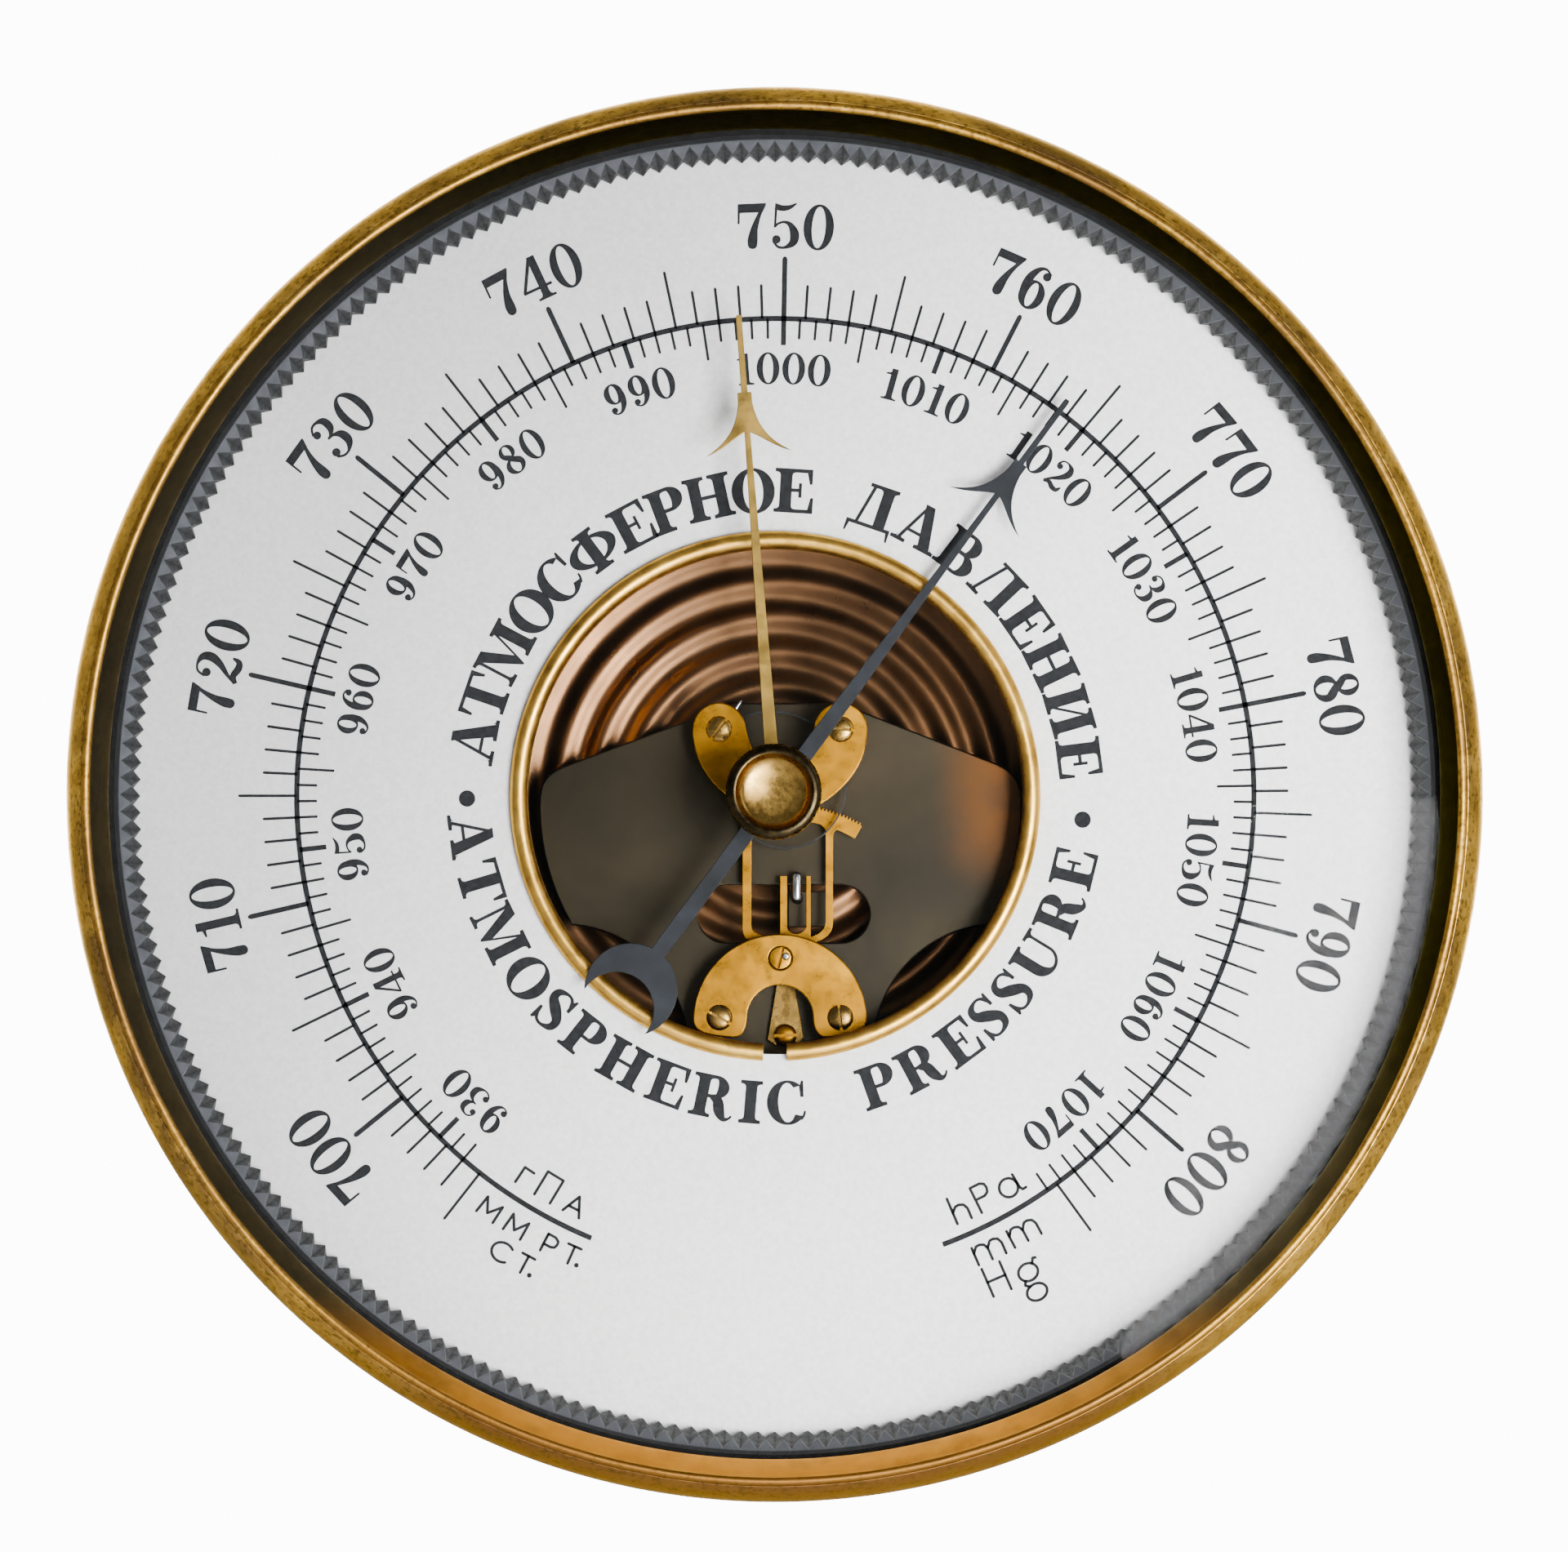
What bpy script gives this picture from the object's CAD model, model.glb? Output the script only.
"""Looks of an aneroid barometer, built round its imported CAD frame.

Sizes are in millimetres until a mesh is made. x is to the right, z is up, and "front" is the distance
forward of the flat rear face, as in the CAD source. Dial angles are degrees clockwise from the top.
"""

import math

import bmesh
import bpy
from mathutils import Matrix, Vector
from mathutils.geometry import delaunay_2d_cdt


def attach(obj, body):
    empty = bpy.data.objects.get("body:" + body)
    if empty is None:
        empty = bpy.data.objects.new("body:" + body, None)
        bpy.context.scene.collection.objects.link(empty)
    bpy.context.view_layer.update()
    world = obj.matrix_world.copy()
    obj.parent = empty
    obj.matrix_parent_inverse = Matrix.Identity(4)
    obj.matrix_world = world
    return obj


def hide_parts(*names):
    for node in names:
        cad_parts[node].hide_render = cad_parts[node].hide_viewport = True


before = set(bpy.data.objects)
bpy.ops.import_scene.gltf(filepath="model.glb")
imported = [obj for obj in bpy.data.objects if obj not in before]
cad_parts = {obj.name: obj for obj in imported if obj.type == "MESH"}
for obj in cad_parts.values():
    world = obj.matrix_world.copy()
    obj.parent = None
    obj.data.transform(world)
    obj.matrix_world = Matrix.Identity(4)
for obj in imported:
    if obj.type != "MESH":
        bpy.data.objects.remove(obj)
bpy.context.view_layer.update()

MM = 0.001
SHARP_ANGLE = 32
PLATE_SHARP_ANGLE = 20


# ------------------------------------------------------------------ drawing in the plane


def arc(centre, radius, start, end, steps):
    """Points on a circle or an ellipse; angles are counterclockwise from +x, in degrees."""
    rx, rz = radius if isinstance(radius, tuple) else (radius, radius)
    angles = [math.radians(start + (end - start) * i / steps) for i in range(steps + 1)]
    return [(centre[0] + rx * math.cos(a), centre[1] + rz * math.sin(a)) for a in angles]


def bezier(a, b, c, d, steps=12):
    """Points on a cubic curve."""
    out = []
    for i in range(steps + 1):
        t = i / steps
        u = 1 - t
        out.append(tuple(u**3 * a[k] + 3 * u * u * t * b[k] + 3 * u * t * t * c[k] + t**3 * d[k] for k in (0,
                1)))
    return out


def clean(points):
    """An outline without repeated points, counterclockwise."""
    out = []
    for p in points:
        if not out or math.dist(p, out[-1]) > 1e-4:
            out.append(tuple(p))
    if math.dist(out[0], out[-1]) < 1e-4:
        out.pop()
    area = sum(a[0] * b[1] - b[0] * a[1] for a, b in zip(out, out[1:] + out[:1]))
    return out if area > 0 else out[::-1]


def inset(outline, amount):
    """A counterclockwise outline moved inwards by amount, or outwards if it is negative."""
    moved = []
    n = len(outline)
    for i in range(n):
        before, here, after = (Vector(outline[(i + k) % n]) for k in (-1, 0, 1))
        u, v = (here - before).normalized(), (after - here).normalized()
        left, right = Vector((-u.y, u.x)), Vector((-v.y, v.x))
        mitre = (left + right) / max(0.35, 1 + left.dot(right))
        moved.append(tuple(here + amount * mitre))
    return moved


def covered(adds, cuts=()):
    """Triangles that lie in one of the outlines adds and in none of cuts, as (points, triangles)."""
    points, faces = [], []
    for outline in [*adds, *cuts]:
        outline = clean(outline)
        start = len(points)
        points += [Vector(p) for p in outline]
        faces.append(list(range(start, len(points))))
    made = delaunay_2d_cdt(points, [], faces, 0, 1e-6)
    kept = []
    for triangle, origins in zip(made[2], made[5]):
        if any(i < len(adds) for i in origins) and not any(i >= len(adds) for i in origins):
            kept.append(triangle)
    return made[0], kept


def polar(angle, radius):
    """x and z of a point at a dial angle."""
    a = math.radians(angle)
    return (radius * math.sin(a), radius * math.cos(a))


def turned(points, angle, centre=(0, 0)):
    """Points turned clockwise about the origin and then moved."""
    a = math.radians(angle)
    return [
        (centre[0] + x * math.cos(a) + z * math.sin(a), centre[1] - x * math.sin(a) + z * math.cos(a))
        for x, z in points
    ]


def mirror(points):
    """An outline's other half, in the order that carries it on."""
    return [(-x, z) for x, z in points[::-1]]


def soften(profile, radius, steps=3, closed=False):
    """A profile with its corners rounded."""
    out = []
    n = len(profile)
    for i, p in enumerate(profile):
        here = Vector(p)
        to_last, to_next = Vector(profile[i - 1]) - here, Vector(profile[(i + 1) % n]) - here
        ends = not closed and i in (0, n - 1)
        flat = min(to_last.length, to_next.length) < 1e-6 or to_last.angle(to_next) > math.radians(168)
        if ends or flat:
            out.append(tuple(p))
            continue
        cut = min(radius, 0.45 * to_last.length, 0.45 * to_next.length)
        start, end = here + to_last.normalized() * cut, here + to_next.normalized() * cut
        for s in range(steps + 1):
            t = s / steps
            out.append(tuple(start * (1 - t) ** 2 + here * 2 * t * (1 - t) + end * t * t))
    return out


# ------------------------------------------------------------------ meshes


def mesh_of(name, points, faces, weld=False):
    """A mesh from (x, front, z) points in millimetres, with its faces turned outwards."""
    mesh = bpy.data.meshes.new(name)
    mesh.from_pydata([(x * MM, -front * MM, z * MM) for x, front, z in points], [], faces)
    bm = bmesh.new()
    bm.from_mesh(mesh)
    if weld:
        bmesh.ops.remove_doubles(bm, verts=bm.verts, dist=2e-7)
        bmesh.ops.dissolve_degenerate(bm, edges=bm.edges, dist=1e-8)
    bmesh.ops.recalc_face_normals(bm, faces=bm.faces)
    bm.to_mesh(mesh)
    bm.free()
    return mesh


def in_scene(name, data):
    thing = bpy.data.objects.new(name, data)
    bpy.context.scene.collection.objects.link(thing)
    return thing


def make(name, points, faces, finish, body, node=None, sharp=SHARP_ANGLE):
    """A piece that rides on a body and, if a node is named, stands for that CAD solid."""
    material = FINISHES[finish]
    mesh = mesh_of(name, points, faces, weld=True)
    mesh.shade_smooth()
    mesh.set_sharp_from_angle(angle=math.radians(sharp))
    mesh.materials.append(material)
    piece = in_scene(name, mesh)
    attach(piece, body)
    if node:
        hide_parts(node)
    return piece


def lathe_mesh(profile, segments, centre=(0, 0), closed=False, span=None):
    """Points and faces of a profile of (radius, front) pairs turned about the Y axis through centre."""
    points, faces, rows = [], [], []
    turns = segments if span is None else segments + 1
    low, high = span or (0, 360)
    for r, front in profile:
        if r < 1e-6:
            points.append((centre[0], front, centre[1]))
            rows.append([len(points) - 1] * turns)
            continue
        row = []
        for i in range(turns):
            a = math.radians(low + (high - low) * i / segments)
            row.append(len(points))
            points.append((centre[0] + r * math.sin(a), front, centre[1] + r * math.cos(a)))
        rows.append(row)
    pairs = list(zip(rows, rows[1:] + ([rows[0]] if closed else [])))
    for here, there in pairs[: len(rows) if closed else len(rows) - 1]:
        for i in range(segments):
            j = (i + 1) % turns
            quad = [here[i], here[j], there[j], there[i]]
            face = [v for k, v in enumerate(quad) if v not in quad[:k]]
            if len(face) > 2:
                faces.append(face)
    if span is not None:
        faces += [[row[0] for row in rows], [row[-1] for row in rows][::-1]]
    return points, faces


def lathe(name, profile, finish, body, node=None, segments=64, closed=False, centre=(0, 0), span=None,
        sharp=SHARP_ANGLE):
    return make(name, *lathe_mesh(profile, segments, centre, closed, span), finish, body, node, sharp)


def tube(name, radii, fronts, edge, finish, body, node, segments, centre=(0, 0)):
    """A ring of rectangular section with softened corners, or a disc if its inner radius is 0."""
    (low, high), (back, front) = radii, fronts
    section = [(low, back), (high, back), (high, front), (low, front)]
    return lathe(name, soften(section, edge, closed=low > 0), finish, body, node, segments, low > 0, centre)


def prism(adds, cuts, back, front):
    """Points and faces of a straight-sided solid over a region of the plane."""
    flat, triangles = covered(adds, cuts)
    n = len(flat)
    points = [(p.x, front, p.y) for p in flat] + [(p.x, back, p.y) for p in flat]
    faces = [list(t) for t in triangles] + [[i + n for i in reversed(t)] for t in triangles]
    edges = {}
    for t in triangles:
        for a, b in zip(t, t[1:] + t[:1]):
            edges[(a, b)] = edges.get((a, b), 0) + 1
    for a, b in edges:
        if (b, a) not in edges:
            faces.append([b, a, a + n, b + n])
    used = sorted({i for face in faces for i in face})
    index = {old: new for new, old in enumerate(used)}
    return [points[i] for i in used], [[index[i] for i in face] for face in faces]


def plate_mesh(outline, holes, back, front, edge):
    """Points and faces of a flat plate whose edges are rounded by edge."""
    steps = [(edge, 0), (0.29 * edge, 0.29 * edge), (0, edge)]
    levels = [(e, back + d) for e, d in steps] + [(e, front - d) for e, d in reversed(steps)]
    points, faces = [], []
    caps = {0: [], len(levels) - 1: []}
    for loop, sign in [(clean(outline), 1)] + [(clean(h), -1) for h in holes]:
        n = len(loop)
        base = len(points)
        for level, (amount, at) in enumerate(levels):
            moved = inset(loop, sign * amount) if amount else loop
            points += [(x, at, z) for x, z in moved]
            if level in caps:
                caps[level].append(moved)
        for level in range(len(levels) - 1):
            for i in range(n):
                j = (i + 1) % n
                low, high = base + level * n, base + (level + 1) * n
                faces.append([low + i, low + j, high + j, high + i])
    for level, loops in caps.items():
        flat, triangles = covered(loops[:1], loops[1:])
        base = len(points)
        points += [(p.x, levels[level][1], p.y) for p in flat]
        faces += [[base + i for i in t] for t in triangles]
    return points, faces


def plate(name, outline, holes, back, front, finish, body, node, edge=0.08):
    return make(name, *plate_mesh(outline, holes, back, front, edge), finish, body, node, PLATE_SHARP_ANGLE)


def rod_mesh(stations, across=(1, 0), segments=28):
    """Points and faces of a rod through (x, front, z, radius) stations; across is square to it, in (x, z)."""
    points, rings = [], []
    for x, front, z, radius in stations:
        rings.append([len(points) + k for k in range(segments)])
        for k in range(segments):
            a = 2 * math.pi * k / segments
            points.append((x + across[0] * radius * math.cos(a), front + radius * math.sin(a),
                    z + across[1] * radius * math.cos(a)))
    faces = []
    for here, there in zip(rings, rings[1:]):
        faces += [[here[k], here[k - segments + 1], there[k - segments + 1],
                there[k]] for k in range(segments)]
    return points, faces + [rings[0], rings[-1][::-1]]


def block_mesh(x, front, z):
    """Points and faces of a box given as three (low, high) pairs."""
    points = [(a, b, c) for a in x for b in front for c in z]
    faces = [[0, 1, 3, 2], [4, 6, 7, 5], [0, 4, 5, 1], [2, 3, 7, 6], [0, 2, 6, 4], [1, 5, 7, 3]]
    return points, faces


def turn_mesh(points, angle, centre):
    """(x, front, z) points turned clockwise about a line along Y through centre."""
    flat = turned([(x - centre[0], z - centre[1]) for x, _, z in points], angle, centre)
    return [(x, front, z) for (x, z), (_, front, _) in zip(flat, points)]


def carve(piece, *solids):
    """Cuts solids, each (points, faces), out of a piece."""
    for points, faces in solids:
        cutter = in_scene("cutter", mesh_of("cutter", points, faces))
        modifier = piece.modifiers.new("cut", "BOOLEAN")
        modifier.operation = "DIFFERENCE"
        modifier.solver = "EXACT"
        modifier.object = cutter
        bpy.context.view_layer.update()
        result = bpy.data.meshes.new_from_object(piece.evaluated_get(bpy.context.evaluated_depsgraph_get()))
        piece.modifiers.clear()
        material = piece.data.materials[0]
        piece.data = result
        result.materials.clear()
        result.materials.append(material)
        result.polygons.foreach_set("material_index", [0] * len(result.polygons))
        result.shade_smooth()
        result.set_sharp_from_angle(angle=math.radians(SHARP_ANGLE))
        bpy.data.objects.remove(cutter)
    return piece


def rounded(piece, width, segments=2, angle=40):
    """Rounds the piece's sharp edges."""
    bevel = piece.modifiers.new("edges", "BEVEL")
    bevel.width = width * MM
    bevel.segments = segments
    bevel.limit_method = "ANGLE"
    bevel.angle_limit = math.radians(angle)
    bevel.harden_normals = True
    return piece


# ------------------------------------------------------------------ materials


def shade(colour):
    """A linear colour from an sRGB hex code, a grey level or a colour."""
    if isinstance(colour, str):
        channels = [int(colour[i : i + 2], 16) / 255 for i in (0, 2, 4)]
        return (*(c / 12.92 if c <= 0.04045 else ((c + 0.055) / 1.055) ** 2.4 for c in channels), 1.0)
    return colour if isinstance(colour, tuple) else (colour, colour, colour, 1)


class Finish:
    """A material under construction: a Principled shader fed by object-space textures."""

    def __init__(self, name, metallic, roughness, **fixed):
        self.material = bpy.data.materials.new(name)
        self.material.use_nodes = True
        self.tree = self.material.node_tree
        self.shader = self.tree.nodes["Principled BSDF"].inputs
        for key, value in dict(Metallic=metallic, Roughness=roughness, **fixed).items():
            self.put(self.shader[key.replace("_", " ")], value)
        self.where = self.tree.nodes.new("ShaderNodeTexCoord").outputs["Object"]

    def put(self, target, value):
        """Feeds a socket from a node's output, or sets it to a constant."""
        if isinstance(value, bpy.types.NodeSocket):
            self.tree.links.new(value, target)
        else:
            target.default_value = shade(value) if isinstance(value, str) else value

    def node(self, kind, inputs, **settings):
        made = self.tree.nodes.new(kind)
        for key, value in settings.items():
            setattr(made, key, value)
        for key, value in inputs.items():
            self.put(made.inputs[key], value)
        return made.outputs

    def stretched(self, scale, turn=(0, 0, 0)):
        rotation = [math.radians(a) for a in turn]
        return self.node("ShaderNodeMapping", {"Scale": scale, "Rotation": rotation,
                "Vector": self.where})["Vector"]

    def noise(self, scale, detail=3.0, roughness=0.55, vector=None, distortion=0.0):
        return self.node("ShaderNodeTexNoise", {
            "Scale": scale, "Detail": detail, "Roughness": roughness, "Distortion": distortion,
            "Vector": vector or self.where})["Fac"]

    def rings(self, scale, distortion=0.6):
        """Fine turning marks round the Y axis."""
        return self.node("ShaderNodeTexWave", {
            "Scale": scale, "Distortion": distortion, "Detail": 2.0, "Detail Scale": 1.5,
                "Vector": self.where,
        }, wave_type="RINGS", rings_direction="Y", wave_profile="SIN")["Fac"]

    def ramp(self, value, *stops):
        ramp = self.tree.nodes.new("ShaderNodeValToRGB")
        elements = ramp.color_ramp.elements
        while len(elements) < len(stops):
            elements.new(0.5)
        for element, (position, colour) in zip(elements, stops):
            element.position = position
            element.color = shade(colour)
        self.put(ramp.inputs["Fac"], value)
        return ramp.outputs["Color"]

    def mix(self, factor, a, b, blend="MIX"):
        return self.node("ShaderNodeMix", {0: factor, 6: a, 7: b}, data_type="RGBA", blend_type=blend)[2]

    def maths(self, operation, a, b=0.0, clamp=False):
        return self.node("ShaderNodeMath", {0: a, 1: b}, operation=operation, use_clamp=clamp)[0]

    def times(self, a, b):
        return self.maths("MULTIPLY", a, b)

    def plus(self, a, b, clamp=False):
        return self.maths("ADD", a, b, clamp)

    def axis(self, letter):
        return self.node("ShaderNodeSeparateXYZ", {0: self.where})[letter]

    def span(self, value, low, high, to_low=0.0, to_high=1.0):
        """value mapped smoothly from low..high to to_low..to_high."""
        return self.node("ShaderNodeMapRange", {
            "Value": value, "From Min": low, "From Max": high, "To Min": to_low, "To Max": to_high,
        }, interpolation_type="SMOOTHSTEP")["Result"]

    def radius(self):
        """Distance from the Y axis, in metres."""
        x, z = self.axis("X"), self.axis("Z")
        return self.maths("SQRT", self.plus(self.times(x, x), self.times(z, z)))

    def colour(self, value):
        self.put(self.shader["Base Color"], value)

    def rough(self, value, low=0.3, high=0.7, *limits):
        """Roughness from a value, spread over limits where they are given."""
        self.put(self.shader["Roughness"], self.span(value, low, high, *limits) if limits else value)

    def bump(self, *layers):
        """layers are (height, distance in millimetres, strength)."""
        normal = None
        for height, distance, strength in layers:
            inputs = {"Distance": distance * MM, "Strength": strength, "Height": height}
            normal = self.node("ShaderNodeBump", inputs | ({"Normal": normal} if normal else {}))["Normal"]
        self.put(self.shader["Normal"], normal)


def bezel_finish():
    f = Finish("bezel_brass", 1.0, 0.3, Specular_Tint=(1.0, 0.78, 0.42, 1))
    gold = f.ramp(f.noise(420, 4, 0.65), (0.3, "a07a35"), (0.5, "c49840"), (0.72, "dcb458"))
    # Brown tarnish in patches, heavier towards the top and the lower left, and all over at the bottom.
    patches = f.ramp(f.noise(60, 5, 0.7, distortion=0.6), (0.4, 0.0), (0.6, 1.0))
    high = f.span(f.axis("Z"), 0.02, 0.075)
    left = f.span(f.plus(f.axis("X"), f.axis("Z")), -0.05, -0.105)
    right = f.span(f.axis("X"), 0.05, 0.078)
    where = f.plus(f.times(high, 0.8), f.plus(f.plus(left, right), 0.4), clamp=True)
    brown = f.mix(f.times(patches, where), gold, "785c38")
    bottom = f.span(f.axis("Z"), -0.05, -0.073)
    brown = f.mix(f.times(bottom, 0.92), brown, "6c4827")
    grit = f.ramp(f.noise(1500, 3, 0.6), (0.5, 0.0), (0.64, 1.0))
    worn = f.times(grit, f.plus(f.times(where, 0.6), 0.15))
    pitted = f.mix(worn, brown, "4a381e")
    # The conical inner wall is dark, except where it is wiped clean at the bottom.
    inside = f.span(f.radius(), 0.0772, 0.07695)
    clean_below = f.times(f.span(f.axis("Z"), -0.055, -0.073),
            f.span(f.noise(160, 4, 0.6), 0.3, 0.55, 0.7, 1.0))
    wall = f.mix(clean_below, "1b1915", "a46b1a")
    shaded = f.span(f.plus(f.axis("X"), f.axis("Z")), -0.01, 0.06)
    wall = f.mix(shaded, wall, "080706")
    f.colour(f.mix(inside, f.mix(f.times(f.span(f.radius(), 0.0781, 0.07795), 0.5), pitted, "6a4712"), wall))
    edge = f.mix(shaded, (1.0, 0.85, 0.6, 1), (0.62, 0.58, 0.46, 1))
    f.put(f.shader["Specular Tint"], f.mix(inside, (1.0, 0.78, 0.42, 1), edge))
    bead = f.span(f.radius(), 0.0781, 0.07795)
    rough = f.span(f.noise(240, 4, 0.7), 0.3, 0.75, 0.26, 0.44)
    f.rough(f.plus(rough, f.times(bead, 0.12)))
    f.bump((f.rings(900), 0.006, 0.3), (f.noise(2600, 2), 0.012, 0.5), (grit, 0.012, 0.3))
    return f.material


def brass_finish(name, light, mid, dark, roughness=(0.28, 0.42), patch=180, turning=True, grain=0.3):
    f = Finish(name, 1.0, roughness[0], Specular_Tint=(1.0, 0.75, 0.4, 1))
    base = f.ramp(f.noise(patch, 5, 0.6, distortion=0.4), (0.3, dark), (0.5, mid), (0.68, light))
    spots = f.ramp(f.noise(patch * 9, 2, 0.5), (0.62, 0.0), (0.72, 0.5))
    f.colour(f.mix(spots, base, dark))
    f.rough(f.noise(patch * 3, 4, 0.7), 0.3, 0.7, *roughness)
    marks = f.rings(1500, 1.2) if turning else f.noise(900, 3, 0.6, f.stretched((9, 9, 1), (0, 25, 0)))
    f.bump((marks, 0.003, grain), (f.noise(5000, 2), 0.003, grain))
    return f.material


def knob_finish():
    """Polished cup inside a dark, tarnished outer shoulder."""
    f = Finish("knob_brass", 1.0, 0.3, Specular_Tint=(1.0, 0.75, 0.4, 1))
    cup = f.ramp(f.noise(330, 4, 0.6, distortion=0.5), (0.3, "57421f"), (0.5, "72592b"),
            (0.7, "8d7038"))
    shoulder = f.ramp(f.noise(420, 4, 0.6), (0.3, "16120a"), (0.7, "32291a"))
    f.colour(f.mix(f.span(f.radius(), 0.0041, 0.0044), cup, shoulder))
    f.rough(f.noise(700, 4, 0.7), 0.3, 0.7, 0.2, 0.36)
    f.bump((f.rings(1500, 1.0), 0.004, 0.35), (f.noise(4000, 2), 0.004, 0.3))
    return f.material


def copper_finish():
    f = Finish("copper", 1.0, 0.24, Specular_Tint=(1.0, 0.72, 0.5, 1))
    base = f.ramp(f.noise(38, 3, 0.5, distortion=0.4), (0.3, "422f1f"), (0.5, "533a25"),
            (0.7, "66462b"))
    stain = f.ramp(f.noise(120, 4, 0.6), (0.5, 0.0), (0.75, 0.5))
    dull = f.span(f.axis("X"), 0.0, 0.02, 1.0, 0.55)
    f.colour(f.mix(1.0, f.mix(stain, base, "3c2b1c"), dull, "MULTIPLY"))
    f.rough(f.noise(160, 3, 0.6), 0.3, 0.7, 0.27, 0.34)
    f.bump((f.rings(1100, 0.8), 0.002, 0.2), (f.noise(3500, 2), 0.002, 0.2))
    return f.material


def dark_bronze_finish():
    f = Finish("dark_bronze", 1.0, 0.3, Specular_Tint=(1.0, 0.85, 0.6, 1))
    base = f.ramp(f.noise(45, 4, 0.55, distortion=0.4), (0.3, "292620"), (0.52, "342f25"),
            (0.72, "3f372b"))
    orange = f.times(f.span(f.axis("X"), 0.017, 0.026), f.span(f.axis("Z"), -0.012, -0.002))
    glow = f.times(orange, f.span(f.noise(75, 3, 0.6), 0.35, 0.62, 0.3, 0.9))
    f.colour(f.mix(glow, base, "5e3c1e"))
    grain = f.noise(2600, 3, 0.6)
    f.rough(grain, 0.3, 0.7, 0.275, 0.285)
    f.bump((f.noise(420, 4, 0.6, f.stretched((1, 1, 10), (0, 12, 0))), 0.001, 0.15), (grain, 0.001, 0.04))
    return f.material


def plain_finish(name, metallic, tones, clouds, roughness, pores, relief=None, **fixed):
    """Two tones in clouds; pores and relief are the noises of the roughness and of the bumps."""
    f = Finish(name, metallic, roughness[0], **fixed)
    f.colour(f.ramp(f.noise(*clouds), (0.3, tones[0]), (0.7, tones[1])))
    f.rough(f.noise(*pores), 0.3, 0.7, *roughness)
    f.bump((f.noise(*relief[0]), *relief[1]) if relief else (f.rings(2500, 1), 0.002, 0.3))
    return f.material


def enamel_finish():
    """Matt white, a little yellowed and dulled towards the upper left."""
    f = Finish("dial_enamel", 0.0, 0.62, Specular_IOR_Level=0.3)
    slope = f.maths("SUBTRACT", f.axis("X"), f.times(f.axis("Z"), 0.45))
    dull = f.span(slope, -0.07, 0.05, 0.56, 1.0)
    cloud = f.ramp(f.noise(26, 3), (0.3, "ececec"), (0.7, "f3f3f2"))
    dust = f.ramp(f.noise(1700, 4, 0.6), (0.34, 0.84), (0.66, 1.0))
    f.colour(f.mix(1.0, f.mix(1.0, cloud, dust, "MULTIPLY"), dull, "MULTIPLY"))
    f.rough(f.noise(900, 3), 0.3, 0.7, 0.55, 0.7)
    f.bump((f.noise(2600, 3, 0.6), 0.006, 0.35))
    return f.material


def ring_finish():
    """Grey moulded plastic: pale on the chamfer, dark on the teeth and outside the chamfer."""
    f = Finish("grey_plastic", 0.0, 0.5, Specular_IOR_Level=0.08)
    light = f.ramp(f.noise(600, 4), (0.3, "34363a"), (0.7, "424448"))
    front = f.times(f.axis("Y"), -1.0)
    chamfer = f.plus(f.times(f.maths("SUBTRACT", front, 0.0319), 0.66), 0.0731)
    recess = f.span(f.maths("SUBTRACT", f.radius(), chamfer), 0.00003, 0.00022, 1.0, 0.2)
    low = f.span(front, 0.0272, 0.0325, 0.55, 1.0)
    rim = f.span(f.radius(), 0.07425, 0.0744, 1.0, 0.12)
    f.colour(f.mix(1.0, light, f.times(f.times(recess, low), rim), "MULTIPLY"))
    f.rough(f.noise(1200, 3), 0.3, 0.7, 0.42, 0.58)
    f.bump((f.noise(2400, 2), 0.006, 0.35))
    return f.material


def plastic_finish(name, tones, roughness, scale, gloss=0.5):
    return plain_finish(name, 0.0, tones, (scale, 4), roughness, (scale * 2, 3),
            ((scale * 4, 2), (0.006, 0.35)),
            Specular_IOR_Level=gloss)


def glass_finish():
    f = Finish("glass", 0.0, 0.03, Alpha=0.04, IOR=1.45)
    f.colour(f.ramp(f.noise(40, 2), (0.3, "0a0d0c"), (0.7, "161b19")))
    f.rough(f.noise(500, 3), 0.35, 0.75, 0.02, 0.05)
    return f.material


FINISHES = {
    "bezel": bezel_finish(),
    "rim": brass_finish("rim_brass", "d2aa50", "c09440", "8d6b2c"),
    "knob": knob_finish(),
    "gold": brass_finish("gold_brass", "8a6f36", "77602d", "5a4720", (0.3, 0.46), turning=False),
    "movement": brass_finish("movement_brass", "a07012", "8e610c", "74500c", (0.26, 0.38), turning=False),
    "screw": brass_finish("screw_bronze", "a3823f", "806430", "4d3b1c", (0.2, 0.34), turning=False),
    "bronze": dark_bronze_finish(),
    "copper": copper_finish(),
    "steel": plain_finish("steel", 1.0, ("8e9299", "c9ccd1"), (400, 3), (0.16, 0.3), (900, 3)),
    "spring": plain_finish("spring_steel", 1.0, ("1b1c1e", "2c2d2f"), (400, 3), (0.4, 0.5), (900, 3)),
    "blued": plain_finish("blued_steel", 0.0, ("0f1114", "1a1d22"), (320, 4, 0.6), (0.42, 0.6), (1200, 3),
        ((4200, 2), (0.004, 0.35)), Specular_IOR_Level=0.12),
    "enamel": enamel_finish(),
    "ink": plain_finish("dial_ink", 0.0, ("0e0f11", "1a1b1e"), (1800, 3), (0.5, 0.7), (1500, 2),
        ((3000, 2), (0.003, 0.3)), Specular_IOR_Level=0.1),
    "grey": ring_finish(),
    "black": plastic_finish("case_black", ("141416", "1f1f22"), (0.35, 0.5), 300),
    "rubber": plastic_finish("black_rubber", ("050505", "0a0a0a"), (0.6, 0.8), 600, 0.08),
    "felt": plastic_finish("felt", ("2d2219", "4a3a2b"), (0.9, 1.0), 1500),
    "glass": glass_finish(),
}


# ------------------------------------------------------------------ lettering

# Glyphs are drawn on a cap height of 1 with rectangles, bands, brush strokes, dots and bracketed feet.
STEM = 0.27
THIN = 0.085


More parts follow.
